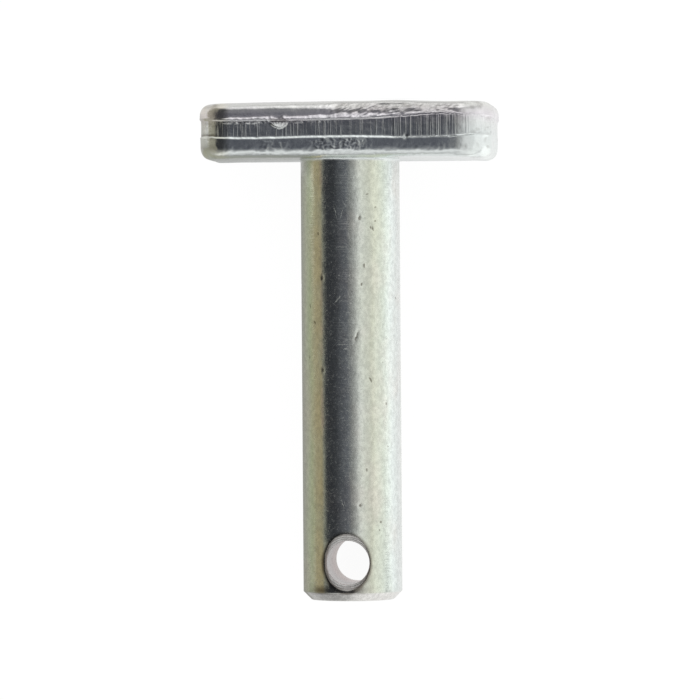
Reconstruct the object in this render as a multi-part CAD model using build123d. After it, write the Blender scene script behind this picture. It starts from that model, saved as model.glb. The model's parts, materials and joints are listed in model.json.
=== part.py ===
from build123d import *
from math import atan2, degrees
import os

# Top link pin: a round shank forged in one piece with an oblong head that makes
# it a T. All sizes are in millimetres. The pin is drawn upright, with its shank
# along Z and the head's underside at Z = 0, and is then laid on its back.

# Shank
shank_diameter = 25.0
shank_length = 111.2
root_fillet = 0.5
tip_chamfer = 2.1
tip_edge_round = 0.5

# Cross hole for a linch pin, countersunk at both mouths
hole_diameter = 11.0
hole_to_tip = 9.65
countersink_diameter = 14.5

# Head, at the widest line of its flanks
head_length = 74.3
head_depth = 32.0
head_thickness = 14.05
head_corner_radius = 8.8
head_edge_fillet = 2.7
head_draft_angle = 3.0
crown_drop = 0.5

# Band round the head where the forging flash was sheared off
flash_band_low = 4.7
flash_band_high = 9.6
flash_band_depth = 0.3
flash_ledge_height = 0.4


def head_layer(start, end, inset=0.0, taper=0.0):
    """One layer of the head: its plan at the start height, run to the end height."""
    plan = RectangleRounded(
        head_length - 2 * inset, head_depth - 2 * inset, head_corner_radius - inset
    )
    facing = Plane(origin=(0, 0, start), z_dir=(0, 0, 1 if end > start else -1))
    return extrude(facing * plan, amount=abs(end - start), taper=taper)


def crown():
    """The volume under the head's crowned top, a large arc along the head's length."""
    half = head_length / 2
    radius = (half**2 + crown_drop**2) / (2 * crown_drop)
    drum = Cylinder(radius, 2 * head_depth, rotation=(90, 0, 0))
    return Pos(0, 0, head_thickness - radius) * drum


def head():
    """Drafted flanks below and above the sheared band, with sloping ledges beside it."""
    low_flank_top = flash_band_low - flash_ledge_height
    high_flank_foot = flash_band_high + flash_ledge_height
    ledge_angle = degrees(atan2(flash_band_depth, flash_ledge_height))
    low_flank = head_layer(low_flank_top, 0, taper=head_draft_angle)
    low_ledge = head_layer(low_flank_top, flash_band_low, taper=ledge_angle)
    band = head_layer(flash_band_low, flash_band_high, inset=flash_band_depth)
    high_ledge = head_layer(high_flank_foot, flash_band_high, taper=ledge_angle)
    high_flank = head_layer(high_flank_foot, head_thickness, taper=head_draft_angle)
    body = low_flank + low_ledge + band + high_ledge + (high_flank & crown())
    across = body.faces().sort_by(Axis.Z)
    return fillet(across[0].edges() + across[-1].edges(), head_edge_fillet)


def shank():
    """Round bar below the head, chamfered at the tip."""
    bar = Pos(0, 0, -shank_length / 2) * Cylinder(shank_diameter / 2, shank_length)
    bar = chamfer(bar.faces().sort_by(Axis.Z)[0].edges(), tip_chamfer)
    return fillet(bar.faces().sort_by(Axis.Z)[0].edges(), tip_edge_round)


def cross_hole():
    """Cutter for the bore across the shank and its two right-angled countersinks."""
    bore = hole_diameter / 2
    reach = countersink_diameter / 2 - bore
    bore_end = shank_diameter / 2 - reach
    clear_end = shank_diameter / 2 + reach
    section = Polyline(
        (0, -clear_end),
        (bore + 2 * reach, -clear_end),
        (bore, -bore_end),
        (bore, bore_end),
        (bore + 2 * reach, clear_end),
        (0, clear_end),
        close=True,
    )
    cutter = revolve(make_face(section), Axis.Y)
    return Pos(0, 0, hole_to_tip - shank_length) * cutter


def upright_pin():
    """The whole forging, standing on its tip with the cross hole along Y."""
    forging = head() + shank()
    root = forging.edges().filter_by(GeomType.CIRCLE).filter_by_position(Axis.Z, 0, 0)
    forging = fillet(root.sort_by(SortBy.RADIUS)[-1], root_fillet)
    return forging - cross_hole()


def lay_down(pin):
    """Lay the pin on its back, on the widest line of the head and the tip's edge."""
    head_contact = flash_band_low - flash_ledge_height
    tip_contact = tip_chamfer - shank_length
    pitch = atan2((head_depth - shank_diameter) / 2, head_contact - tip_contact)
    lying = Rot(X=degrees(pitch) - 90) * pin
    box = lying.bounding_box()
    return Pos(-box.center().X, -box.center().Y, -box.min.Z) * lying


os.makedirs("parts", exist_ok=True)
export_step(lay_down(upright_pin()), "parts/top_link_pin.step")
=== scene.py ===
import json
from math import atan2, cos, pi, radians, sin, tan

import bmesh
import bpy
import numpy as np
from mathutils import Matrix, Vector
from mathutils.geometry import delaunay_2d_cdt


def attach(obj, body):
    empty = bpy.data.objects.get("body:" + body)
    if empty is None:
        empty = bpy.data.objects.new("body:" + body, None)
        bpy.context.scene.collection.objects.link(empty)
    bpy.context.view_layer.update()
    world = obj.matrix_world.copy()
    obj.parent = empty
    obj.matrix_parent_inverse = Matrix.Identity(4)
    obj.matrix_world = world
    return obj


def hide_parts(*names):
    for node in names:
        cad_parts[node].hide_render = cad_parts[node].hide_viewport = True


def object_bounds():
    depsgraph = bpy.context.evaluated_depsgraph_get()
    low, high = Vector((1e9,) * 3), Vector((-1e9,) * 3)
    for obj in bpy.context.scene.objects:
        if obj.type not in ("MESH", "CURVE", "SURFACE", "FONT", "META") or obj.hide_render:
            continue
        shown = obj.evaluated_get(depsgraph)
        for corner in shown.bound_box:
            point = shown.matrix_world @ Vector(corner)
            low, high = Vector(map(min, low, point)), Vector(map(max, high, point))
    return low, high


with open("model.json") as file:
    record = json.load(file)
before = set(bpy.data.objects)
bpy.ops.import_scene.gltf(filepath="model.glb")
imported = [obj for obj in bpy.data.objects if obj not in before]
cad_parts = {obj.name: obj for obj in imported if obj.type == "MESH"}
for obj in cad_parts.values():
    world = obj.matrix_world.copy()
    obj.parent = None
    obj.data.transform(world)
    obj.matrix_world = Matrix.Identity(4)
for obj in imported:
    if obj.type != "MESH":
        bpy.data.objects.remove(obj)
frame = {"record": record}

# The pin is worked out upright, in millimetres: x along the head, y towards its
# back, z up from the head's underside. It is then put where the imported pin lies.
CAD_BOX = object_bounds()
MM = 0.001
MOUNTS = {m["name"]: m for m in frame["record"]["mounts"]}
SEAT = Vector(MOUNTS["head_seat"]["pos_m"])
UP_PIN = -Vector(MOUNTS["head_seat"]["axis"]).normalized()
MOUTH = Vector(MOUNTS["linch_hole"]["axis"]).normalized()
ALONG_HEAD = UP_PIN.cross(MOUTH)
PLACE = Matrix((ALONG_HEAD, -MOUTH, UP_PIN)).transposed().to_4x4()
PLACE.translation = SEAT

# Shank and cross hole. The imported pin's mounts give their radii and places
SHANK_R = MOUNTS["shank"]["dims"]["r_mm"]
BORE_R = MOUNTS["linch_hole"]["dims"]["r_mm"]
BORE_HALF = MOUNTS["linch_hole"]["dims"]["length_mm"] / 2
HOLE_Z = (Vector(MOUNTS["linch_hole"]["pos_m"]) - SEAT).dot(UP_PIN) / MM
WALL_MID = (Vector(MOUNTS["shank"]["pos_m"]) - SEAT).dot(UP_PIN) / MM
WALL_TOP = WALL_MID + MOUNTS["shank"]["dims"]["length_mm"] / 2
WALL_END = WALL_MID - MOUNTS["shank"]["dims"]["length_mm"] / 2
ROOT_R = -WALL_TOP
ROOT_DROP = 0.95
COUNTERSINK_R = BORE_R + SHANK_R - BORE_HALF
CHAMFER = 2.1
TIP_ROUND = 0.5
TIP_Z = WALL_END - CHAMFER

# Head
HEAD_LENGTH = (CAD_BOX[1].x - CAD_BOX[0].x) / MM
HEAD_DEPTH = 32.0
HEAD_THICK = 14.05
CORNER_R = 8.8
EDGE_R = 2.7
DRAFT = radians(3.0)
CROWN_DROP = 0.5
BAND_LOW = 4.7
BAND_HIGH = 9.6
BAND_DEPTH = 0.3
LEDGE = 0.4
HEAD_TILT = radians(0.25)

# Along the front, (x, height): where the flash was cut, and where it tore
CUT_LINE = (
    (-37, 5.55), (-33.5, 5.45), (-31.8, 5.25), (-27, 5.2), (-22, 5.1), (-17, 5.18), (-10, 5.35),
    (3, 5.43), (10, 5.2), (13, 5.03), (22, 5.04), (27, 5.2), (31, 5.75), (37, 5.95),
)
TORN_LINE = (
    (-37, 9.85), (-31.5, 9.4), (-27, 9.33), (-16, 9.36), (-10, 9.38), (-4, 9.44), (3, 9.53), (8, 9.7),
    (13, 9.95), (17, 10.22), (20, 10.55), (24, 10.75), (28, 10.6), (31, 10.2), (37, 9.95),
)

# Along the front, (x, width): the cut's ledge, and the slope above the torn lip
CUT_WIDTH = (
    (-37, 0.3), (-32, 0.4), (-28, 0.52), (10, 0.52), (14, 0.36), (28, 0.32), (33, 0.45), (37, 0.4),
)
LIP_WIDTH = (
    (-37, 0.3), (-31.5, 0.35), (-28.5, 0.8), (-16, 0.95), (-10, 1.1), (-4, 1.2), (0, 1.55), (6, 1.5),
    (9, 1.0), (13, 0.75), (22, 0.75), (28, 0.55), (31, 0.4), (37, 0.3),
)

# Single marks on the front of the head
TONGUE_X = -16.2
TONGUE_TOP = 9.8
TONGUE_LENGTH = 2.45
TONGUE_HALF_WIDTH = 2.75
NICK_X = 15.9
EARLY_CORNER_X = 30.6

# Marks on the shank: angle from the front in degrees, height, half width, half length, lean in degrees
DENTS = (
    (-33.5, -19.0, 0.30, 0.45, 0), (-27.8, -30.1, 0.30, 0.65, 0), (-27.6, -53.2, 0.28, 0.60, 0),
    (-48.3, -37.1, 0.22, 0.60, -25), (-39.8, -41.3, 0.24, 0.62, -30), (-50.0, -49.9, 0.20, 0.60, 15),
    (17.5, -15.2, 0.42, 0.66, 0), (26.8, -9.2, 0.50, 0.22, 0), (37.3, -12.5, 0.36, 0.20, 0),
    (31.1, -17.6, 0.20, 0.50, -20), (33.6, -17.9, 0.22, 0.62, -20), (36.7, -15.9, 0.24, 0.24, 0),
    (22.8, -27.1, 0.26, 0.62, 5), (19.2, -31.8, 0.24, 0.40, 0), (13.1, -44.8, 0.24, 1.30, 20),
    (29.6, -55.7, 0.26, 0.95, -30), (46.0, -51.3, 0.20, 0.20, 0), (71.1, -35.2, 0.32, 0.34, 0),
    (50.8, -61.7, 0.24, 0.42, 0), (24.2, -78.3, 0.26, 0.52, 0), (53.6, -72.5, 0.28, 0.22, 0),
    (15.9, -87.1, 0.36, 0.40, 0), (41.6, -91.4, 0.32, 0.34, 0), (39.7, -93.3, 0.22, 0.22, 0),
)
SCRATCHES = (
    (-6.6, -29.5, 0.20, 0.20, 0), (5.5, -29.5, 0.20, 0.20, 0), (-3.2, -22.4, 1.50, 0.10, 0),
    (-10.7, -13.5, 0.09, 2.20, -14), (-3.3, -14.3, 0.09, 1.60, 14), (-8.5, -35.5, 0.20, 1.40, 40),
    (-2.3, -46.8, 1.90, 0.09, 0), (0.6, -47.9, 0.75, 0.18, 0), (19.2, -58.0, 0.55, 0.20, 0),
    (-4.5, -86.6, 0.10, 1.50, -20),
)

# Faint colours along the shank by the angle from its front: the plating's bloom, with painted reflection
# tints
BLOOM_AND_REFLECTION = (
    (-180, (0.78, 0.82, 0.72)), (-140, (0.76, 0.82, 0.74)), (-110, (0.80, 0.81, 0.75)),
    (-75, (0.80, 0.82, 0.77)), (-58, (0.79, 0.82, 0.69)), (-46, (0.73, 0.82, 0.61)),
    (-22, (0.78, 0.82, 0.76)), (10, (0.78, 0.82, 0.77)), (20, (0.78, 0.82, 0.72)),
    (32, (0.79, 0.82, 0.67)), (45, (0.77, 0.83, 0.72)), (53, (0.77, 0.84, 0.77)),
    (62, (0.82, 0.88, 0.85)), (80, (0.80, 0.83, 0.81)), (115, (0.78, 0.82, 0.71)),
    (145, (0.80, 0.80, 0.75)), (180, (0.78, 0.82, 0.72)),
)

# Camera: square to the shank, about 1.1 m away, with a long lens. One pixel of
# the picture is PIXEL_MM wide at the pin's axis.
PIXEL_MM = 0.2531
IMAGE_PIXELS = 700
SENSOR_MM = 36.0
CAMERA_DISTANCE_MM = 4300 * PIXEL_MM
CAMERA_TURN_DEG = 7.0
CAMERA_ROLL_DEG = 0.41
AIM_BELOW_HEAD_MM = 190.5 * PIXEL_MM
AIM_LEFT_MM = 1.3 * PIXEL_MM


# Numbers


def value_noise(points, size, seed):
    """Smooth noise from -1 to 1 at points in mm. Size is the width of its bumps, one number or three."""
    q = np.asarray(points, float) / size
    cell = np.floor(q).astype(np.int64)
    f = q - cell
    f = f * f * (3 - 2 * f)
    total = np.zeros(len(q))
    for corner in np.ndindex(2, 2, 2):
        at = cell + corner
        h = at[:, 0] * 73856093 ^ at[:, 1] * 19349663 ^ at[:, 2] * 83492791 ^ (seed * 2654435761)
        h = (h ^ (h >> 13)) & 0xFFFFFFFF
        h = (h * 1274126177) & 0xFFFFFFFF
        h = ((h ^ (h >> 16)) * 224682251) & 0xFFFFFFFF
        weight = np.prod(np.where(corner, f, 1 - f), axis=1)
        total += weight * (((h ^ (h >> 15)) & 0xFFFF) / 32767.5 - 1)
    return total


def rough_noise(points, size, seed, layers=3):
    """Noise in several layers, each half as wide and half as strong."""
    total = 0.0
    for k in range(layers):
        total = total + value_noise(np.asarray(points) + 17.3 * k, np.asarray(size) / 2**k, seed + k) / 2**k
    return total / 1.6


def ease(low, high, value):
    """From 0 at low to 1 at high, with soft ends. It also runs downwards."""
    t = np.clip((np.asarray(value, float) - low) / (high - low), 0, 1)
    return t * t * (3 - 2 * t)


def window(low, high, value, soft):
    return ease(low - soft, low + soft, value) * ease(high + soft, high - soft, value)


def bump_at(value, centre, width):
    return np.exp(-(((value - centre) / width) ** 2))


def rounded(start, corner, end, t):
    """A point on the round that takes off a corner. It runs from start to end as t goes from 0 to 1."""
    return (1 - t) ** 2 * start + 2 * t * (1 - t) * corner + t**2 * end


# Mesh building


WELD_MM = 0.004


class Build:
    """Gathers points and faces of one surface."""

    def __init__(self):
        self.points, self.faces, self.count = [], [], 0

    def add(self, points, faces):
        self.points.append(np.asarray(points, float))
        self.faces += [tuple(i + self.count for i in face) for face in faces]
        self.count += len(points)

    def grid(self, rows):
        """Closed rings with the same number of points in each, joined by four-sided faces."""
        rows = np.asarray(rows, float)
        n = rows.shape[1]
        faces = []
        for r in range(len(rows) - 1):
            for c in range(n):
                d = (c + 1) % n
                faces.append((r * n + c, r * n + d, (r + 1) * n + d, (r + 1) * n + c))
        self.add(rows.reshape(-1, 3), faces)

    def patch(self, outlines, inner, keep, lift):
        """A flat patch between closed outlines, with points inside it, lifted into place."""
        flat, edges = [], []
        for outline in outlines:
            base = len(flat)
            flat += [tuple(p) for p in outline]
            edges += [(base + i, base + (i + 1) % len(outline)) for i in range(len(outline))]
        flat += [tuple(p) for p in inner]
        made = delaunay_2d_cdt([Vector(p) for p in flat], edges, [], 0, 1e-7, False)
        points = np.array([tuple(v) for v in made[0]])
        self.add(lift(points), [face for face in made[2] if keep(points[list(face)].mean(axis=0))])


def staggered(half_x, half_y, step):
    """Points in staggered rows over a rectangle round the middle."""
    points = []
    for j, y in enumerate(np.arange(-half_y, half_y, step * 0.87)):
        for x in np.arange(-half_x + (j % 2) * step / 2, half_x, step):
            points.append((x, y))
    return np.array(points)


# Head


LOW_ARC_ROWS = 11
HIGH_ARC_ROWS = 16


def plan_columns():
    """Round the head's widest outline from the front left: x, y and the direction outwards."""
    half_x, half_y = HEAD_LENGTH / 2 - CORNER_R, HEAD_DEPTH / 2 - CORNER_R
    front, side, back = 240, 30, 90
    near_corner, far_corner = 48, 24
    rows = [(-half_x + 2 * half_x * t / front, -HEAD_DEPTH / 2, 0, -1) for t in range(front)]
    turns = (
        (half_x, -half_y, near_corner, side), (half_x, half_y, far_corner, back),
        (-half_x, half_y, far_corner, side), (-half_x, -half_y, near_corner, 0),
    )
    for turn, (cx, cy, corner, straight) in enumerate(turns):
        start = (turn - 1) * pi / 2
        for t in range(corner):
            a = start + pi / 2 * t / corner
            rows.append((cx + CORNER_R * cos(a), cy + CORNER_R * sin(a), cos(a), sin(a)))
        nx, ny = round(cos(start + pi / 2)), round(sin(start + pi / 2))
        length = 2 * (half_y if nx else half_x)
        for t in range(straight):
            step = length * t / straight
            rows.append((cx + CORNER_R * nx - ny * step, cy + CORNER_R * ny + nx * step, nx, ny))
    return np.array(rows)


def arc_rows(start, end, centre, count):
    """(inset, height) along the edge rounding, between two tilts of the surface."""
    tilts = [start + (end - start) * t / count for t in range(count + 1)]
    return [(centre[0] - EDGE_R * cos(a), centre[1] + EDGE_R * sin(a)) for a in tilts]


def section_rows():
    """(inset, height) from the flat underside, up the flanks and the sheared band, to the top."""
    low_line, high_line = BAND_LOW - LEDGE, BAND_HIGH + LEDGE
    low_inset = (low_line - EDGE_R) * tan(DRAFT) + EDGE_R / cos(DRAFT)
    rows = arc_rows(-pi / 2, -DRAFT, (low_inset, EDGE_R), LOW_ARC_ROWS)
    foot = rows[-1]
    rows += [(foot[0] * (1 - t), foot[1] + (low_line - foot[1]) * t) for t in np.linspace(0, 1, 9)[1:]]
    rows += [(BAND_DEPTH * t, low_line + LEDGE * t) for t in (0.08, 0.36, 0.64, 0.92, 1.0)]
    band = list(np.linspace(0, 0.5, 8)[1:]) + list(np.linspace(0.5, 1, 14)[1:])
    rows += [(BAND_DEPTH, BAND_LOW + (BAND_HIGH - BAND_LOW) * t) for t in band]
    rows += [(BAND_DEPTH * (1 - t), BAND_HIGH + LEDGE * t) for t in (0.35, 0.7, 1.0)]
    centre_z = HEAD_THICK - EDGE_R
    high_inset = (centre_z - high_line) * tan(DRAFT) + EDGE_R / cos(DRAFT)
    arc = arc_rows(DRAFT, pi / 2, (high_inset, centre_z), HIGH_ARC_ROWS)
    rows += [(arc[0][0] * t, high_line + (arc[0][1] - high_line) * t) for t in (0.17, 0.34, 0.5, 0.67, 0.84)]
    return np.array(rows + arc)


def crown_fall(x):
    """How much lower than its middle the head's top lies."""
    radius = ((HEAD_LENGTH / 2) ** 2 + CROWN_DROP**2) / (2 * CROWN_DROP)
    return radius - np.sqrt(radius**2 - x**2)


def band_lines(x, y):
    """Heights of the band's cut line and torn line at places on the head's outline."""
    front = ease(-2, -12, y)
    around = np.stack([x, y, 0 * x], axis=1)
    low = BAND_LOW + 0.9 * ease(30, 37, abs(x)) * ease(15, 8, y) + 0.12 * value_noise(around, 9.0, 3)
    high = BAND_HIGH + 0.25 * value_noise(around, 7.0, 4)
    low = low * (1 - front) + front * np.interp(x, *zip(*CUT_LINE))
    high = high * (1 - front) + front * np.interp(x, *zip(*TORN_LINE))
    low = low + 0.09 * rough_noise(around, 1.3, 5)
    ragged = 0.16 + 0.12 * value_noise(around, 6.0, 6)
    return low, high + ragged * rough_noise(around, 1.2, 7)


def inside_plan(points, inset):
    """How far inside the head's outline, drawn in by the inset, each point lies."""
    qx = np.abs(points[:, 0]) - (HEAD_LENGTH / 2 - CORNER_R)
    qy = np.abs(points[:, 1]) - (HEAD_DEPTH / 2 - CORNER_R)
    outside = np.hypot(np.maximum(qx, 0), np.maximum(qy, 0))
    return CORNER_R - inset - outside - np.minimum(np.maximum(qx, qy), 0)


def add_head(build):
    plan, section = plan_columns(), section_rows()
    low, high = band_lines(plan[:, 0], plan[:, 1])
    fall = crown_fall(plan[:, 0])
    foot, shoulder = section[LOW_ARC_ROWS, 1], section[-HIGH_ARC_ROWS - 1, 1]
    front = ease(-2, -12, plan[:, 1])
    width = LEDGE + front * (np.interp(plan[:, 0], *zip(*CUT_WIDTH)) - LEDGE)
    rows = []
    for inset, z in section:
        x = plan[:, 0] - inset * plan[:, 2]
        y = plan[:, 1] - inset * plan[:, 3]
        if foot < z < shoulder:
            knots = (foot, BAND_LOW - LEDGE, BAND_LOW, BAND_HIGH, shoulder)
            lines = zip(low, width, high, fall)
            height = [np.interp(z, knots, (foot, a - w, a, b, shoulder - f)) for a, w, b, f in lines]
        else:
            height = z - crown_fall(x) * (z >= shoulder)
        rows.append(np.stack([x, y, height + 0 * x], axis=1))
    build.grid(rows)
    grid = staggered(40, 20, 1.1)
    inner = grid[inside_plan(grid, section[-1, 0]) > 0.6]
    build.patch(
        [rows[-1][:, :2]],
        inner,
        lambda c: True,
        lambda p: np.column_stack([p, HEAD_THICK - crown_fall(p[:, 0])]),
    )
    root = SHANK_R + ROOT_R
    away = np.hypot(grid[:, 0], grid[:, 1]) - root
    build.patch(
        [rows[0][:, :2], ring(root, 0)[:, :2]],
        grid[(inside_plan(grid, section[0, 0]) > 0.6) & (away > 0.5)],
        lambda c: np.hypot(*c) > root,
        lambda p: np.column_stack([p, 0 * p[:, 0]]),
    )


# Shank


def shank_angles():
    """Angles round the shank from its left, closer together over the front, which is at zero."""
    front = np.linspace(-pi / 2, pi / 2, 150, False)
    back = np.linspace(pi / 2, 3 * pi / 2, 36, False)
    return np.concatenate([front, back])


def ring(radius, z):
    a = shank_angles()
    return np.stack([radius * np.sin(a), -radius * np.cos(a), np.full(len(a), float(z))], axis=1)


HOLE_COLUMNS = 144
RIM_R = 0.12
SKIN_END = WALL_END + 0.08
ZONE_TOP = HOLE_Z + 10.5


def mouth_crest(angle):
    """Distance from the hole's axis to the edge of the countersink on the shank."""
    reach = COUNTERSINK_R + 0 * angle
    for _ in range(30):
        reach = COUNTERSINK_R - SHANK_R + np.sqrt(SHANK_R**2 - (reach * np.cos(angle)) ** 2)
    return reach


def mouth_border(angle):
    """Distance from the hole's axis to where the mouth's own rings begin, short of the tip's chamfer."""
    down = np.maximum(-np.sin(angle), 1e-3)
    return np.minimum(mouth_crest(angle) + 0.42, (HOLE_Z - SKIN_END - 0.05) / down)


def mouth_rings(side):
    """Rings of a mouth, from the shank's skin over the edge and down the countersink to the bore."""
    a = np.arange(HOLE_COLUMNS) * 2 * pi / HOLE_COLUMNS
    crest = mouth_crest(a)

    def at(reach, depth):
        return np.stack([reach * np.cos(a), side * depth, HOLE_Z + reach * np.sin(a)], axis=1)

    def on_skin(reach):
        return at(reach, np.sqrt(SHANK_R**2 - (reach * np.cos(a)) ** 2))

    def on_cone(reach):
        return at(reach, SHANK_R - (COUNTERSINK_R - reach))

    round_off = 0.09
    start, end = on_skin(crest + round_off), on_cone(crest - round_off)
    rings = [on_skin(mouth_border(a)), on_skin((mouth_border(a) + crest + round_off) / 2)]
    rings += [rounded(start, on_skin(crest), end, t) for t in np.linspace(0, 1, 5)]
    foot = BORE_R + RIM_R
    rings += [on_cone((crest - round_off) * (1 - t) + foot * t) for t in np.linspace(0, 1, 9)[1:]]
    for t in (0.33, 0.67, 1.0):
        reach = (1 - t) ** 2 * foot + (1 - (1 - t) ** 2) * BORE_R
        depth = BORE_HALF + RIM_R * ((1 - t) ** 2 - 1.4 * t**2)
        rings.append(at(reach + 0 * a, depth + 0 * a))
    return rings


def add_hole(build):
    front, back = mouth_rings(-1.0), mouth_rings(1.0)
    a = np.arange(HOLE_COLUMNS) * 2 * pi / HOLE_COLUMNS
    x, z = BORE_R * np.cos(a), HOLE_Z + BORE_R * np.sin(a)
    bore = [np.stack([x, 0 * a + t * (BORE_HALF - 0.5), z], axis=1) for t in np.linspace(-1, 1, 13)]
    build.grid(front + bore + back[::-1])
    return front[0], back[0]


def unrolled(points):
    """Places on the shank's skin as the distance round from its front, and the height."""
    angle = np.arctan2(points[:, 0], -points[:, 1])
    return np.column_stack([SHANK_R * np.where(angle < -pi / 2, angle + 2 * pi, angle), points[:, 2]])


def rolled(points):
    angle = points[:, 0] / SHANK_R
    return np.column_stack([SHANK_R * np.sin(angle), -SHANK_R * np.cos(angle), points[:, 1]])


def add_shank(build):
    sweep = np.linspace(0, pi / 2, 8)
    rows = [ring(SHANK_R + ROOT_R * (1 - sin(a)), -ROOT_DROP * (1 - cos(a))) for a in sweep]
    rows += [ring(SHANK_R, z) for z in np.linspace(-ROOT_DROP, ZONE_TOP, 198)[1:]]
    build.grid(rows)
    add_hole_zone(build)
    wall, corner = np.array((SHANK_R, SKIN_END)), np.array((SHANK_R, WALL_END))
    last = np.array((SHANK_R - CHAMFER, TIP_Z))
    slope = np.array((-1.0, -1.0)) / 2**0.5
    level = np.array((-1.0, 0.0))
    set_back = TIP_ROUND * tan(pi / 8)
    chamfer_start, chamfer_end = corner + slope * 0.1, last - slope * set_back
    face_start = last + level * set_back
    rows = [ring(*rounded(wall, corner, chamfer_start, t)) for t in (0, 0.33, 0.67)]
    rows += [ring(*p) for p in np.linspace(chamfer_start, chamfer_end, 9)]
    rows += [ring(*rounded(chamfer_end, last, face_start, t)) for t in (0.25, 0.5, 0.75, 1.0)]
    build.grid(rows)
    face_r = SHANK_R - CHAMFER - set_back
    grid = staggered(12, 12, 0.7)
    build.patch(
        [ring(face_r, 0)[:, :2]],
        grid[np.hypot(grid[:, 0], grid[:, 1]) < face_r - 0.4],
        lambda c: True,
        lambda p: np.column_stack([p, np.full(len(p), TIP_Z)]),
    )


def add_hole_zone(build):
    """The shank's skin round the cross hole, cut at the left and unrolled to fit the two mouths."""
    mouths = add_hole(build)
    angles = np.append(shank_angles(), 3 * pi / 2) * SHANK_R
    heights = np.linspace(ZONE_TOP, SKIN_END, 36)[1:-1]
    border = [(u, ZONE_TOP) for u in angles] + [(angles[-1], z) for z in heights]
    border += [(u, SKIN_END) for u in angles[::-1]] + [(angles[0], z) for z in heights[::-1]]
    inner = np.array([(u, z) for z in heights for u in angles[1:-1]])
    at = rolled(inner)
    rise, reach = np.arctan2(at[:, 2] - HOLE_Z, at[:, 0]), np.hypot(at[:, 0], at[:, 2] - HOLE_Z)
    near = (reach < mouth_border(rise) + 0.15) & (np.abs(at[:, 1]) > 2)

    def keep(centre):
        x, y, z = rolled(centre[None, :])[0]
        return np.hypot(x, z - HOLE_Z) > mouth_border(np.array(atan2(z - HOLE_Z, x))) + 0.002 or abs(y) < 2

    build.patch([border] + [unrolled(m) for m in mouths], inner[~near], keep, rolled)


# Wear and forging marks


def slanted(points, x_by_z=0.0, z_by_x=0.0):
    """Points sheared in the plane of the front, so that noise at them runs at a slant."""
    return points @ np.array(((1, 0, z_by_x), (0, 1, 0), (x_by_z, 0, 1)))


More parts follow.
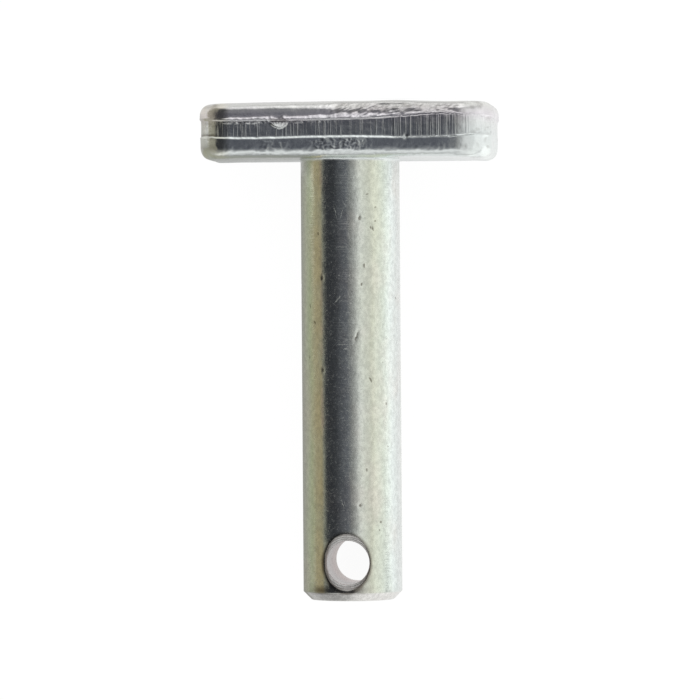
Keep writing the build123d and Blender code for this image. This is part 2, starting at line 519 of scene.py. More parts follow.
def head_relief(p, n):
    """How far, in mm, the head's skin and torn lip stand proud, and where it is sheared, stained or painted
    with shade.
    """
    x, y, z = p.T
    front = ease(0.3, 0.8, -n[:, 1])
    upright = ease(0.9, 0.6, abs(n[:, 2]))
    low, high = band_lines(x, y)
    band = ease(low - 0.2, low + 0.2, z) * ease(high + 0.15, high - 0.15, z) * upright
    proud = 0.06 * value_noise(p, 11.0, 21) + 0.035 * value_noise(p, 4.0, 22)
    proud += 0.02 * rough_noise(p, 1.3, 23)
    proud += band * (0.035 + 0.05 * front * window(9, 29, x, 2)) * rough_noise(p, (0.7, 0.7, 60), 31)
    proud += band * 0.03 * rough_noise(p, (1.5, 1.5, 0.8), 33)

    # The cut edge is ragged, and the torn one a lip that rises slowly from above and drops at once below
    proud += front * 0.06 * rough_noise(p, (1.0, 9, 9), 34) * bump_at(z, low - 0.25, 0.22)
    above = z - high
    width = 0.35 + front * (np.interp(x, *zip(*LIP_WIDTH)) - 0.35)
    width = width * (1 + 0.22 * value_noise(p, (1.5, 6, 60), 35))
    slope = 0.3 + front * (0.19 - 0.06 * window(-1, 8, x, 2))
    slope = slope * (1 + 0.2 * rough_noise(p, (0.8, 9, 60), 48))
    ledge = LEDGE * (HEAD_THICK - EDGE_R - high) / (HEAD_THICK - EDGE_R - BAND_HIGH)
    filled = (0.3 + 0.7 * front) * BAND_DEPTH * np.clip(1 - above / ledge, 0, 1)
    lip = (slope * np.clip(width - above, 0, None) + filled) * ease(-0.14, 0.08, above) * upright

    # Small curls of metal hang from the lip at the left and beside the tongue
    strokes = slanted(p, x_by_z=0.8)
    curls = rough_noise(strokes, (0.6, 30, 1.2), 36, 2)
    curled = window(-30.6, -18.8, x, 0.6) + 0.9 * window(-13.4, -9.6, x, 0.6)
    curled = front * (curled + 0.4 * window(-9, -1.5, x, 1))
    strand = bump_at(z, high - 0.6 + 0.25 * value_noise(p, (0.9, 30, 60), 37), 0.3)
    proud += curled * 0.2 * strand * np.clip(0.7 + 1.6 * curls, 0, 2)
    proud += curled * 0.17 * curls * window(high - 0.75, high + 0.3, z, 0.15)

    # A tongue of flash is folded down over the band, with a shallow pocket behind its upper part
    down = (TONGUE_TOP - z) / TONGUE_LENGTH
    half = TONGUE_HALF_WIDTH * np.sqrt(np.clip(1.02 - np.clip(down, 0, 1) ** 2, 0.01, 1))
    across = abs(x - TONGUE_X - 0.35 * np.clip(down, 0, 1)) / half
    tongue = ease(1.0, 0.82, across) * ease(-0.12, 0.02, down) * ease(1.06, 0.97, down)
    pit = tongue * bump_at(down, 0.17, 0.16) * ease(0.95, 0.55, across)
    ridges = value_noise(slanted(p - (-15.8, 0, 0), x_by_z=0.35), (0.5, 30, 5), 39)
    belly = -0.1 + 0.85 * np.clip((down - 0.27) / 0.73, 0, 1) ** 1.1 + 0.035 * ridges
    proud += front * tongue * belly

    # Ridged hammer marks low on the front, a broken lower edge and one nick
    hammered = window(-7.5, 6.0, x, 2.8) * window(1.6, 4.6, z, 0.4)
    hammered += 0.5 * window(-20, -14, x, 1) * window(2, 4, z, 0.4)
    ridged = bump_at(value_noise(slanted(p, x_by_z=1.4), (1.1, 9, 0.7), 64), 0, 0.22)
    ridged = ridged + bump_at(value_noise(slanted(p, z_by_x=-0.4), (1.5, 9, 0.5), 65), 0, 0.22)
    proud += front * hammered * (0.12 * ridged + 0.12 * rough_noise(p, (0.9, 9, 0.7), 66, 2))
    edge = 0.055 * rough_noise(p, (1.6, 5, 1.0), 45) + 0.045 * front * value_noise(p, (0.7, 5, 0.6), 46)
    proud += ease(3.6, 2.4, z) * edge - front * 0.03 * ease(3.8, 2.5, z) * ease(0.4, 1.6, z)
    proud -= front * 0.25 * bump_at(x, NICK_X, 0.4) * bump_at(z, low, 0.6)

    # The upper flank is rolled back from the middle to the right, in combed strokes and then in short folds
    rolled_back = 0.12 * window(-12, -3, x, 2) + 0.28 * window(-3, 7.5, x, 2) + 0.5 * window(7.5, 17, x, 2.5)
    rolled_back += 0.28 * window(17, 28, x, 2.5)
    proud -= front * rolled_back * ease(10.6, 12.7, z) * ease(14.5, 12.9, z)
    combed = 0.13 * rough_noise(slanted(p, x_by_z=-1.8), (0.55, 9, 2.0), 44, 2) * window(-4, 10, x, 3)
    folded = 0.13 * rough_noise(slanted(p, z_by_x=-0.15), (1.5, 9, 0.5), 43, 2) * window(7, 29, x, 3)
    chipped = 0.05 * value_noise(slanted(p, x_by_z=-1.0), (0.45, 9, 0.5), 49) * window(-6, 29, x, 3)
    proud += front * window(9.9, 13.2, z, 0.4) * (combed + folded + chipped)

    # The corner towards the right starts to round off early
    proud -= front * 0.3 * bump_at(x, EARLY_CORNER_X, 3.3)

    # Stains on the band's flat part, on the corners and on the rolled flank. Painted shade in the tongue's
    # pocket, and in a crack along the cut and where the edges begin to round, at the left corner
    stain_and_shade = 0.45 * front * pit
    stain_and_shade += 0.22 * band * front * ease(31, 28, abs(x)) * (1 + 0.5 * value_noise(p, 5.0, 61))
    stain_and_shade += 0.3 * ease(29.5, 31.5, abs(x)) * ease(0.1, 0.7, rough_noise(p, (1.8, 1.8, 1.2), 47))
    shaded_lines = 0.8 * bump_at(z, low + 0.3, 0.3) + 0.3 * bump_at(z, 2.7, 0.8) + 0.35 * bump_at(z, 12.9, 0.6)
    stain_and_shade += shaded_lines * ease(-30.8, -32.5, x) * ease(-4, -9, y)
    uneven = 1 + 0.5 * value_noise(p, (1.2, 9, 0.6), 62)
    stain_and_shade += 0.4 * front * window(-2, 29, x, 2) * ease(10.4, 11.4, z) * uneven
    return proud, lip, band, np.clip(stain_and_shade, 0, 1)


def shank_relief(p):
    """How far, in mm, the shank's skin stands proud and the bore's edge is turned in.

    It also gives where the shank is dirty or painted with shade, countersunk or bored.
    """
    x, y, z = p.T
    angle = np.degrees(np.arctan2(x, -y))
    proud = 0.013 * value_noise(p, (2.3, 2.3, 34), 51) + 0.006 * value_noise(p, (6, 6, 9), 52)
    dents = 0.0
    draw = np.random.default_rng(5).uniform
    behind = [(draw(80, 280), draw(-105, -4), *draw(0.25, 0.6, 2), 0) for _ in range(34)]
    for at, height, width, length, lean in DENTS + tuple(behind):
        round_by, along = SHANK_R * np.radians((angle - at + 180) % 360 - 180), z - height
        turn = radians(lean)
        u, v = round_by * cos(turn) - along * sin(turn), round_by * sin(turn) + along * cos(turn)
        dents = dents + 0.08 * np.exp(-((u / (width + 0.1)) ** 2) - (v / (length + 0.1)) ** 2)
    dents = dents + 0.12 * bump_at(x, 0.7, 0.9) * bump_at(z, WALL_END + 0.15, 0.3) * ease(0, -3, y)
    rise, reach = np.arctan2(z - HOLE_Z, x), np.hypot(x, z - HOLE_Z)
    crest = mouth_crest(rise)
    outer = ease(11.9, 12.1, np.hypot(x, y)) * ease(6, 8, abs(y))
    left = 0.5 - 0.5 * np.cos(rise - 0.4)
    # A burr round the mouths, with a dark line of painted shade along it outside the countersink
    burr_and_shade = outer * bump_at(reach, crest + 0.12 + 0.2 * left, 0.32 + 0.22 * left) * (0.72 + 0.45 * left)
    mouth = ease(crest + 0.06, crest - 0.06, reach)
    cut = mouth * ease(BORE_HALF - 0.05, BORE_HALF + 0.05, abs(y))
    bore = mouth * ease(BORE_HALF + 0.05, BORE_HALF - 0.05, abs(y)) * ease(7, 6, reach)
    smudge = outer * bump_at(z, WALL_END + 0.6, 1.1) * (bump_at(x, -6.4, 3.0) + 0.6 * bump_at(x, 3.4, 1.5))
    sides = np.clip(-np.cos(rise), 0, 1) ** 3 + 0.8 * np.clip(np.cos(rise + 0.2), 0, 1) ** 3
    # Painted shade on the countersinks' cones, at their sides
    shaded_cone = 0.95 * cut * sides * ease(BORE_R, BORE_R + 0.25, reach)
    # Painted shadow of the head on the shank's upper left
    shade = 0.4 * ease(-7, -1.5, z) * ease(-38, -52, angle) * ease(-100, -80, angle)
    dirt_and_shade = np.clip(burr_and_shade + smudge + shaded_cone + shade, 0, 1)

    # The bore's edge is turned in a little at the left
    turned_in = 0.27 * np.clip(-np.cos(rise), 0, 1) ** 2 * ease(BORE_R + 0.45, BORE_R + 0.1, reach)
    turned_in = turned_in * ease(BORE_HALF - 1.8, BORE_HALF - 0.1, -y)
    return proud - dents + 0.05 * burr_and_shade, turned_in, dirt_and_shade, cut, bore


def wear(mesh):
    """Moves the mesh's points to the worn shape and keeps where the surface is sheared, cut, dirty or
    painted with shade.
    """
    count = len(mesh.vertices)
    flat = np.empty(count * 3)
    mesh.vertices.foreach_get("co", flat)
    p = flat.reshape(-1, 3).copy()
    mesh.vertex_normals.foreach_get("vector", flat)
    n = flat.reshape(-1, 3).copy()
    head = ease(-1.0, -0.2, p[:, 2])
    head_proud, lip, band, stain_and_shade = head_relief(p, n)
    shank_proud, turned_in, dirt_and_shade, cut, bore = shank_relief(p)
    wall = ease(WALL_END - 0.3, WALL_END + 0.2, p[:, 2])
    proud = head * head_proud + (1 - head) * shank_proud * wall

    # What rests on the floor isn't built up
    resting = ease(9, 13, p[:, 1])
    proud = proud * (1 - resting) - 0.4 * np.abs(proud) * resting
    outwards = n * (1, 1, 0) / np.maximum(np.hypot(n[:, 0], n[:, 1]), 0.3)[:, None]
    to_axis = (p - (0, 0, HOLE_Z)) * (-1, 0, -1)
    to_axis /= np.maximum(np.hypot(to_axis[:, 0], to_axis[:, 2]), 1)[:, None]
    lip = lip * head * (1 - resting)
    moved = p + n * proud[:, None] + outwards * lip[:, None] + to_axis * (turned_in * (1 - head))[:, None]
    x, z = moved[:, 0].copy(), moved[:, 2].copy()

    # The countersink was cut a little high. The crown is fullest right of the middle, the head's
    # ends are a little thicker, and the head leans
    drop, reach = HOLE_Z - p[:, 2], np.hypot(p[:, 0], p[:, 2] - HOLE_Z)
    near = ease(BORE_R, COUNTERSINK_R - 0.2, reach) * ease(COUNTERSINK_R + 0.3, COUNTERSINK_R, reach)
    lifted = 0.3 * near * np.clip(drop / COUNTERSINK_R, 0, 1) ** 2 * (1 - resting)
    ends = 0.14 * ease(26, 34, abs(p[:, 0])) + 0.14 * ease(28, 36, p[:, 0])
    raised = (0.22 * bump_at(p[:, 0], 13.5, 6.0) + ends) * ease(9, 13, p[:, 2])
    raised -= 0.22 * ease(26, 34, abs(p[:, 0])) * ease(2.5, 0.4, p[:, 2]) * head * (1 - resting)
    moved[:, 2] = z + lifted + raised - x * np.sin(HEAD_TILT) * head
    moved[:, 0] = x + z * np.sin(HEAD_TILT) * head

    # The die halves didn't quite match: the upper one is a little longer than the lower one
    upper = 0.16 * ease(8, 11, p[:, 2]) * (ease(30, 35, p[:, 0]) - ease(-30, -35, p[:, 0]))
    lower = ease(5.6, 5.0, p[:, 2]) * (0.1 * ease(-30, -35, p[:, 0]) - 0.24 * ease(30, 35, p[:, 0]))
    moved[:, 0] += (upper + lower) * head
    mesh.vertices.foreach_set("co", (moved * MM).ravel())
    # The dark mark carries stains, dirt and painted shade
    marks = {
        "forged": head, "sheared": head * band, "grime_and_shade": head * stain_and_shade + (1 - head) * dirt_and_shade,
        "countersunk": (1 - head) * cut, "bored": (1 - head) * bore, "pointed": 1 - wall,
    }
    for name, values in marks.items():
        layer = mesh.attributes.new(name, "FLOAT", "POINT")
        layer.data.foreach_set("value", np.ascontiguousarray(values, dtype=np.float32))


def make_pin():
    build = Build()
    add_head(build)
    add_shank(build)
    mesh = bpy.data.meshes.new("forged_pin")
    mesh.from_pydata(np.concatenate(build.points).tolist(), [], build.faces)
    shape = bmesh.new()
    shape.from_mesh(mesh)
    bmesh.ops.remove_doubles(shape, verts=shape.verts, dist=WELD_MM)
    bmesh.ops.recalc_face_normals(shape, faces=shape.faces)
    loose = sum(len(edge.link_faces) != 2 for edge in shape.edges)
    triangles = sum(len(face.verts) - 2 for face in shape.faces)
    print("pin surface: triangles", triangles, "open edges", loose)
    shape.to_mesh(mesh)
    shape.free()
    wear(mesh)
    mesh.shade_smooth()
    mesh.transform(PLACE)
    pin = bpy.data.objects.new("forged_pin", mesh)
    bpy.context.scene.collection.objects.link(pin)
    return pin


# Materials and light


class Nodes:
    """Short ways to add and join shader nodes."""

    def __init__(self, tree):
        self.tree = tree
        tree.nodes.clear()

    def add(self, kind, **inputs):
        node = self.tree.nodes.new(kind)
        for name, value in inputs.items():
            self.put(node, name, value)
        return node

    def put(self, node, name, value):
        key = int(name[1:]) if name[0] == "i" and name[1:].isdigit() else name.replace("_", " ")
        socket = node.inputs[key]
        if isinstance(value, bpy.types.NodeSocket):
            self.tree.links.new(value, socket)
        else:
            socket.default_value = value

    def math(self, operation, *values):
        node = self.tree.nodes.new("ShaderNodeMath")
        node.operation = operation
        for i, value in enumerate(values):
            self.put(node, f"i{i}", value)
        return node.outputs[0]

    def vector(self, operation, *values, **inputs):
        node = self.tree.nodes.new("ShaderNodeVectorMath")
        node.operation = operation
        for i, value in enumerate(values):
            self.put(node, f"i{i}", value)
        for name, value in inputs.items():
            self.put(node, name, value)
        return node.outputs["Value" if operation in ("DOT_PRODUCT", "LENGTH") else "Vector"]

    def ramp(self, value, stops):
        """Colours or grey levels along a value from 0 to 1."""
        node = self.add("ShaderNodeValToRGB", Fac=value)
        line = node.color_ramp
        while len(line.elements) < len(stops):
            line.elements.new(0.5)
        for element, (at, colour) in zip(line.elements, stops):
            element.position = at
        for element, (at, colour) in zip(line.elements, stops):
            element.color = (*colour, 1) if isinstance(colour, tuple) else (colour, colour, colour, 1)
        return node.outputs["Color"]

    def scale_to(self, value, low, high, to_low=0.0, to_high=1.0, smooth=True):
        node = self.add("ShaderNodeMapRange", Value=value)
        node.interpolation_type = "SMOOTHSTEP" if smooth else "LINEAR"
        for name, number in (("From Min", low), ("From Max", high), ("To Min", to_low), ("To Max", to_high)):
            node.inputs[name].default_value = number
        return node.outputs["Result"]

    def mix(self, share, first, second, blend="MIX"):
        node = self.tree.nodes.new("ShaderNodeMix")
        node.data_type = "RGBA"
        node.blend_type = blend
        for i, value in ((0, share), (6, first), (7, second)):
            if isinstance(value, bpy.types.NodeSocket):
                self.tree.links.new(value, node.inputs[i])
            else:
                node.inputs[i].default_value = value if i == 0 else (*value, 1)
        return node.outputs[2]

    def noise(self, where, scale, detail=2.0, roughness=0.5):
        """Noise whose bumps are 1 / scale mm wide along each axis."""
        spread = self.vector("MULTIPLY", where, tuple(s * 1000 for s in scale))
        node = self.add("ShaderNodeTexNoise", Vector=spread, Scale=1.0, Detail=detail, Roughness=roughness)
        return node.outputs[0]

    def spots(self, where, rows):
        """1 inside each spot of the rows on the unrolled shank, in mm, and 0 outside."""
        total = 0.0
        for angle, height, half_width, half_length, lean in rows:
            node = self.tree.nodes.new("ShaderNodeMapping")
            node.vector_type = "TEXTURE"
            self.put(node, "Vector", where)
            self.put(node, "Location", (SHANK_R * radians(angle), height, 0))
            self.put(node, "Rotation", (0, 0, -radians(lean)))
            self.put(node, "Scale", (half_width, half_length, 1))
            spot = self.scale_to(self.vector("LENGTH", node.outputs[0]), 1.15, 0.6)
            total = self.math("MAXIMUM", total, spot)
        return total

    def mark(self, name):
        node = self.tree.nodes.new("ShaderNodeAttribute")
        node.attribute_name = name
        return node.outputs["Fac"]


def zinc_plate():
    """Bright zinc plate with a faint bloom of colours, painted reflection, shade and highlight, turning
    lines and forging grain under it.
    """
    material = bpy.data.materials.new("zinc_plate")
    material.use_nodes = True
    t = Nodes(material.node_tree)
    upright = PLACE.inverted()
    lying = t.tree.nodes.new("ShaderNodeTexCoord").outputs["Object"]
    where = t.add(
        "ShaderNodeMapping", Vector=lying, Location=upright.translation, Rotation=upright.to_euler()
    ).outputs[0]
    forged, sheared = t.mark("forged"), t.mark("sheared")
    grime_and_shade, countersunk = t.mark("grime_and_shade"), t.mark("countersunk")
    split = t.add("ShaderNodeSeparateXYZ", Vector=where)
    x, y, z = split.outputs[0], split.outputs[1], split.outputs[2]

    # Bloom and painted reflection on the shank: bands of faint colour, slow pink patches, and an ochre strip
    # at the left with patches of copper along its right edge, the strip a painted reflection of warm light
    pink, ochre, copper = (0.84, 0.77, 0.70), (0.83, 0.75, 0.50), (0.84, 0.70, 0.62)
    angle = t.math("ARCTAN2", x, t.math("MULTIPLY", y, -1.0))
    wander = t.math("SUBTRACT", t.noise(where, (0.10, 0.10, 0.03), 2.0), 0.5)
    turned = t.scale_to(t.math("ADD", angle, t.math("MULTIPLY", wander, radians(24))), -pi, pi, smooth=False)
    shank = t.ramp(turned, [((degrees + 180) / 360, tint) for degrees, tint in BLOOM_AND_REFLECTION])
    patches = t.scale_to(t.noise(where, (0.09, 0.09, 0.05), 3.0, 0.6), 0.45, 0.7)
    shank = t.mix(t.math("MULTIPLY", patches, 0.4), shank, pink)
    strip = t.scale_to(angle, radians(-53), radians(-35))
    strip = t.math("MULTIPLY", strip, t.scale_to(angle, radians(-26), radians(-31)))
    worn = t.scale_to(t.noise(where, (0.15, 0.15, 0.08), 3.0), 0.3, 0.6, 0.55, 0.95)
    shank = t.mix(t.math("MULTIPLY", strip, worn), shank, ochre)
    strip = t.scale_to(t.math("ABSOLUTE", t.math("ADD", angle, radians(29.0))), radians(3.5), radians(0.5))
    shank = t.mix(t.math("MULTIPLY", t.math("MULTIPLY", strip, patches), 0.8), shank, copper)

    # Bloom on the head: violet above the band, teal below it
    height = t.math("ADD", z, t.math("MULTIPLY", t.noise(where, (0.12, 0.12, 0.12), 2.0), 0.003))
    head = t.ramp(
        t.scale_to(height, 0.0, 0.015, smooth=False),
        (
            (0.1, (0.78, 0.82, 0.81)), (0.5, (0.76, 0.80, 0.80)), (0.65, (0.77, 0.79, 0.79)),
            (0.8, (0.80, 0.77, 0.81)), (0.97, (0.83, 0.83, 0.81)),
        ),
    )

    # The tip's chamfer, the bore and the countersinks have tints of their own. The bore's pink is painted
    # lighter at its mouths and darker inside, as light and shade
    shank = t.mix(t.mark("pointed"), shank, (0.80, 0.79, 0.76))
    inside = t.ramp(
        t.scale_to(y, -0.0108, 0.0108, smooth=False),
        (
            (0.0, (0.96, 0.90, 0.90)), (0.12, (0.86, 0.82, 0.83)), (0.35, (0.74, 0.68, 0.70)),
            (0.7, (0.84, 0.70, 0.70)), (1.0, (0.99, 0.86, 0.85)),
        ),
    )
    shank = t.mix(t.mark("bored"), shank, inside)
    shank = t.mix(countersunk, shank, (0.66, 0.66, 0.64))

    # Painted highlight: the bore's edge is painted bright at the left
    off_axis = t.vector("MULTIPLY", t.vector("SUBTRACT", where, (0, 0, HOLE_Z * MM)), (1, 0, 1))
    from_axis = t.vector("LENGTH", off_axis)
    rim_highlight = t.scale_to(from_axis, (BORE_R + 0.2) * MM, BORE_R * MM)
    rim_highlight = t.math("MULTIPLY", rim_highlight, t.scale_to(x, 0.001, -0.003))
    shank = t.mix(t.math("MULTIPLY", rim_highlight, countersunk), shank, (1.0, 0.98, 0.97))

    # Painted reflection: the left corner of the head's sides is tinted warmer, the right one brighter
    sides = t.ramp(
        t.scale_to(x, -0.037, 0.037, smooth=False),
        (
            (0.0, (0.98, 0.94, 0.84)), (0.09, (0.97, 0.94, 0.86)), (0.12, (0.96, 0.96, 0.96)),
            (0.88, (0.96, 0.96, 0.96)), (0.915, (0.98, 0.98, 0.97)), (0.94, (1.15, 1.16, 1.14)),
            (1.0, (1.18, 1.18, 1.16)),
        ),
    )
    front_or_back = t.scale_to(t.math("ABSOLUTE", y), 0.0120, 0.0138)
    either_end = t.scale_to(t.math("ABSOLUTE", x), 0.0335, 0.0352)
    on_sides = t.math("MAXIMUM", front_or_back, either_end)
    head = t.mix(on_sides, head, t.mix(1.0, head, sides, "MULTIPLY"))
    colour = t.mix(forged, shank, head)

    # Dents, stains and the painted shade are dark, scratches matt, and the whole shank is finely speckled
    bare = t.math("SUBTRACT", 1.0, forged)
    round_by, along = t.math("MULTIPLY", angle, SHANK_R), t.math("DIVIDE", z, MM)
    unrolled_at = t.add("ShaderNodeCombineXYZ", X=round_by, Y=along).outputs[0]
    enlarged = t.vector("SCALE", where, Scale=1500.0)
    shake = t.add("ShaderNodeTexNoise", Vector=enlarged, Scale=1.0, Detail=2.0).outputs[1]
    shake = t.vector("SCALE", t.vector("SUBTRACT", shake, (0.5, 0.5, 0.5)), Scale=0.6)
    unrolled_at = t.vector("ADD", unrolled_at, shake)
    dents = t.math("MULTIPLY", t.spots(unrolled_at, DENTS), bare)
    scratches = t.math("MULTIPLY", t.spots(unrolled_at, SCRATCHES), bare)
    speckle = t.scale_to(t.noise(where, (1.7, 1.7, 2.1), 3.0, 0.7), 0.50, 0.72)
    stains_and_shade = t.math("MAXIMUM", grime_and_shade, t.math("MULTIPLY", dents, 0.78))
    dull = t.mix(1.0, colour, (0.30, 0.27, 0.25), "MULTIPLY")
    colour = t.mix(stains_and_shade, colour, dull)
    colour = t.mix(t.math("MULTIPLY", speckle, 0.16), colour, (0.5, 0.5, 0.5))
    mottle = t.scale_to(t.noise(where, (1.0, 1.0, 0.8), 4.0, 0.7), 0.35, 0.65, 0.87, 1.08)
    colour = t.mix(bare, colour, t.vector("SCALE", colour, Scale=mottle))

    # The polish is blotchy, and duller on the head, the speckles, the scratches and the countersinks
    blotch = t.noise(where, (0.5, 0.5, 0.3), 4.0, 0.6)
    rough = t.scale_to(blotch, 0.3, 0.7, 0.14, 0.20)
    rough = t.math("ADD", rough, t.math("MULTIPLY", forged, 0.03))
    rough = t.math("ADD", rough, t.math("MULTIPLY", t.math("MULTIPLY", speckle, bare), 0.22))
    rough = t.math("ADD", rough, t.math("MULTIPLY", scratches, 0.28))
    rough = t.math("ADD", rough, t.math("MULTIPLY", countersunk, 0.2))

    # Turning lines round the shank, in patches, grain all over, and tool rings in the countersinks
    turned_there = t.scale_to(t.noise(where, (0.14, 0.14, 0.2), 2.0), 0.40, 0.62, 0.5, 2.4)
    lines = t.math("MULTIPLY", t.noise(where, (0.22, 0.22, 2.4), 2.0, 0.6), turned_there)
    grain = t.noise(where, (0.9, 0.9, 0.9), 4.0, 0.6)
    fine_grain = t.noise(where, (2.4, 2.4, 2.4), 2.0, 0.6)
    shear = t.scale_to(t.noise(where, (2.0, 2.0, 0.05), 2.0, 0.6), 0.54, 0.68)
    rings = t.math("SINE", t.math("MULTIPLY", from_axis, 2 * pi / (0.5 * MM)))
    turned_skin = t.math("ADD", t.math("MULTIPLY", lines, 0.9), t.math("MULTIPLY", fine_grain, 0.5))
    turned_skin = t.math("ADD", turned_skin, t.math("MULTIPLY", grain, 0.8))
    relief = t.math("MULTIPLY", turned_skin, bare)
    relief = t.math("ADD", relief, t.math("MULTIPLY", t.math("MULTIPLY", grain, forged), 1.3))
    relief = t.math("ADD", relief, t.math("MULTIPLY", t.math("MULTIPLY", shear, sheared), 1.2))
    relief = t.math("ADD", relief, t.math("MULTIPLY", t.math("MULTIPLY", rings, countersunk), 0.7))
    bump = t.add("ShaderNodeBump", Strength=1.0, Distance=0.00003, Height=relief).outputs[0]

    metal = t.math("SUBTRACT", 1.0, t.math("MULTIPLY", countersunk, 0.4))
    shader = t.add(
        "ShaderNodeBsdfPrincipled", Base_Color=colour, Metallic=metal, Roughness=rough, Normal=bump
    )
    t.add("ShaderNodeOutputMaterial", Surface=shader.outputs[0])
    return material


def add_camera():
    turn = radians(CAMERA_TURN_DEG)
    back = (sin(turn) * ALONG_HEAD + cos(turn) * MOUTH).normalized()
    side = UP_PIN.cross(back)
    roll = radians(CAMERA_ROLL_DEG)
    right = cos(roll) * side - sin(roll) * UP_PIN
    up = cos(roll) * UP_PIN + sin(roll) * side
    target = SEAT - UP_PIN * AIM_BELOW_HEAD_MM * MM - side * AIM_LEFT_MM * MM
    data = bpy.data.cameras.new("camera")
    data.sensor_width = SENSOR_MM
    data.lens = SENSOR_MM * CAMERA_DISTANCE_MM / (IMAGE_PIXELS * PIXEL_MM)
    data.clip_end = 20.0
    camera = bpy.data.objects.new("camera", data)
    bpy.context.scene.collection.objects.link(camera)
    place = Matrix((right, up, back)).transposed().to_4x4()
    place.translation = target + back * CAMERA_DISTANCE_MM * MM
    camera.matrix_world = place
    bpy.context.scene.camera = camera
    return right, up, back


def add_floor():
    """Plain floor, nearly white to the camera, with a very faint shadow. Reflections see cards instead."""
    bpy.ops.mesh.primitive_plane_add(size=6.0, location=(0, 0, 0))
    floor = bpy.context.object
    floor.name = "floor"
    material = bpy.data.materials.new("floor")
    material.use_nodes = True
    t = Nodes(material.node_tree)
    split = t.add("ShaderNodeSeparateXYZ", Vector=t.tree.nodes.new("ShaderNodeTexCoord").outputs["Object"])
    across = t.scale_to(split.outputs[0], -0.2, 0.2, smooth=False)
    by_shank = t.ramp(
        across,
        (
            (0.02, (0.40, 0.40, 0.34)), (0.30, (0.42, 0.42, 0.36)), (0.39, (0.42, 0.42, 0.38)),
            (0.42, (0.37, 0.37, 0.34)), (0.47, (0.34, 0.34, 0.32)), (0.53, 0.90), (0.58, 0.92),
            (0.62, 1.02), (0.7, 1.08),
        ),
    )
    past_tip = t.ramp(
        across,
        (
            (0.02, 0.50), (0.30, 0.36), (0.39, 0.33), (0.425, 0.46), (0.45, 0.58), (0.55, 0.95),
            (0.61, 0.97), (0.66, 0.82), (0.80, 0.66), (0.98, 0.58),
        ),
    )
    by_head = t.ramp(across, ((0.42, 0.55), (0.58, 0.87)))
    past_head = (0.79, 0.79, 0.79)
    tip_end, head_start, head_end = -0.066, 0.044, 0.060
    along = split.outputs[1]
    cards = t.mix(t.scale_to(along, tip_end, tip_end - 0.006), by_shank, past_tip)
    cards = t.mix(t.scale_to(along, head_start, head_start + 0.004), cards, by_head)
    cards = t.mix(t.scale_to(along, head_end, head_end + 0.006), cards, past_head)
    path = t.tree.nodes.new("ShaderNodeLightPath")
    seen = path.outputs["Is Camera Ray"]
    glow, matt_share = (0.94, 0.94, 0.94), (0.1, 0.1, 0.1)
    emit = t.add("ShaderNodeEmission", Color=t.mix(seen, cards, glow), Strength=1.0)
    matt = t.add("ShaderNodeBsdfDiffuse", Color=t.mix(seen, (0, 0, 0), matt_share))
    both = t.add("ShaderNodeAddShader", i0=emit.outputs[0], i1=matt.outputs[0])
    t.add("ShaderNodeOutputMaterial", Surface=both.outputs[0])
    floor.data.materials.append(material)


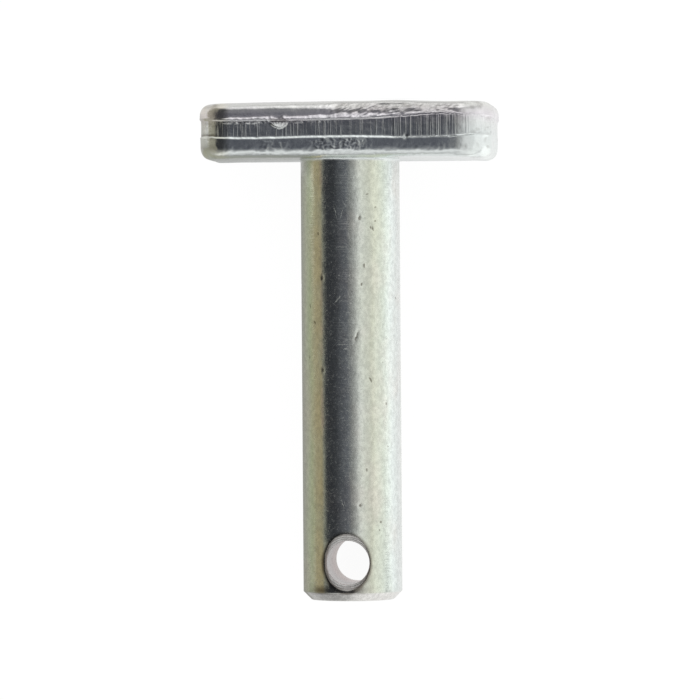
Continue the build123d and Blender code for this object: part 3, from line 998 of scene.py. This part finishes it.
def add_world(right, up, back):
    """Studio light: panels that differ round the pin, and bright strips above and below the head.

    Only reflections see these. The camera and matt surfaces see an even pale world.
    """
    world = bpy.data.worlds.new("studio")
    bpy.context.scene.world = world
    world.use_nodes = True
    t = Nodes(world.node_tree)
    where = t.tree.nodes.new("ShaderNodeTexCoord").outputs["Generated"]
    to_right = t.vector("DOT_PRODUCT", where, tuple(right))
    to_up = t.vector("DOT_PRODUCT", where, tuple(up))
    to_back = t.vector("DOT_PRODUCT", where, tuple(back))
    around = t.scale_to(t.math("ARCTAN2", to_right, to_back), -pi, pi, smooth=False)

    # Panels: degrees from the camera's direction towards the picture's right, level and tint
    warm, cool, plain = (1.03, 1.0, 0.86), (0.93, 0.97, 1.16), (1.0, 1.0, 1.0)
    panels = (
        (-180, 0.35, warm), (-90, 0.35, warm), (-77, 0.34, warm), (-71, 0.30, warm), (-64, 0.04, cool),
        (-50, 0.036, cool), (-38, 0.04, cool), (-29, 0.066, cool), (-22, 0.09, cool), (-16, 0.095, cool),
        (-12, 0.105, cool), (-8, 0.14, cool), (-1, 0.22, plain), (4, 0.295, plain), (10, 0.42, plain),
        (17, 0.70, plain), (24, 0.83, plain), (32, 0.74, plain), (46, 0.67, plain), (54, 0.87, plain),
        (70, 0.90, plain), (90, 0.92, plain), (180, 0.96, plain),
    )
    stops = [((a + 180) / 360, tuple(level * c for c in tint)) for a, level, tint in panels]
    beside = t.ramp(around, stops)

    # Strips, by degrees towards the picture's top: how far they hide the panels, and how bright they are
    rise = t.scale_to(t.math("ARCSINE", to_up), -pi / 2, pi / 2, smooth=False)
    above = ((5, 0.0), (9, 0.08), (30, 0.25), (40, 0.35), (47, 0.8), (55, 1.0), (90, 1.0))
    above_glow = (
        (5, 0.0), (7, 0.03), (9, 0.08), (13, 0.1), (38, 0.11), (43, 0.2), (48, 0.42), (54, 0.7), (60, 0.86),
        (67, 0.9), (74, 0.82), (80, 0.62), (85, 0.46), (90, 0.4),
    )
    below = ((-90, 1.0), (-56, 1.0), (-42, 0.6), (-30, 0.25), (-14, 0.0))
    below_glow = (
        (-90, 0.42), (-84, 0.4), (-77, 0.43), (-70, 0.52), (-63, 0.61), (-56, 0.62), (-49, 0.5), (-42, 0.32),
        (-33, 0.15), (-20, 0.06), (-9, 0.0),
    )
    strips = (above, above_glow, below, below_glow)
    high, high_glow, low, low_glow = (
        t.ramp(rise, [((degrees + 90) / 180, level) for degrees, level in strip]) for strip in strips
    )

    # The upper strip is weaker at the left, less so high up, and glows less at the right
    reaches = t.scale_to(around, (180 - 45) / 360, (180 - 14) / 360, 0.12, 1.0)
    reaches = t.math("MAXIMUM", reaches, t.scale_to(rise, (90 + 38) / 180, (90 + 58) / 180, 0.0, 0.62))
    spread = t.math("MULTIPLY", reaches, t.scale_to(around, (180 + 15) / 360, (180 + 35) / 360, 1.0, 0.6))
    kept = t.math("SUBTRACT", 1.0, t.math("MULTIPLY", high, reaches))
    kept = t.math("MULTIPLY", kept, t.math("SUBTRACT", 1.0, low))
    added = t.math("ADD", t.math("MULTIPLY", high_glow, spread), low_glow)
    added = t.vector("SCALE", (1.5, 1.5, 1.5), Scale=added)
    studio = t.vector("ADD", t.vector("SCALE", beside, Scale=kept), added)
    path = t.tree.nodes.new("ShaderNodeLightPath")
    even = t.mix(path.outputs["Is Camera Ray"], (0.8, 0.8, 0.8), (1, 1, 1))
    other = t.math("MAXIMUM", path.outputs["Is Camera Ray"], path.outputs["Is Diffuse Ray"])
    background = t.add("ShaderNodeBackground", Color=t.mix(other, studio, even), Strength=1.0)
    t.add("ShaderNodeOutputWorld", Surface=background.outputs[0])


pin = make_pin()
pin.data.materials.append(zinc_plate())
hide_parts("top_link_pin")
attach(pin, "root")
camera_axes = add_camera()
add_floor()
add_world(*camera_axes)
bpy.context.scene.view_settings.view_transform = "Standard"
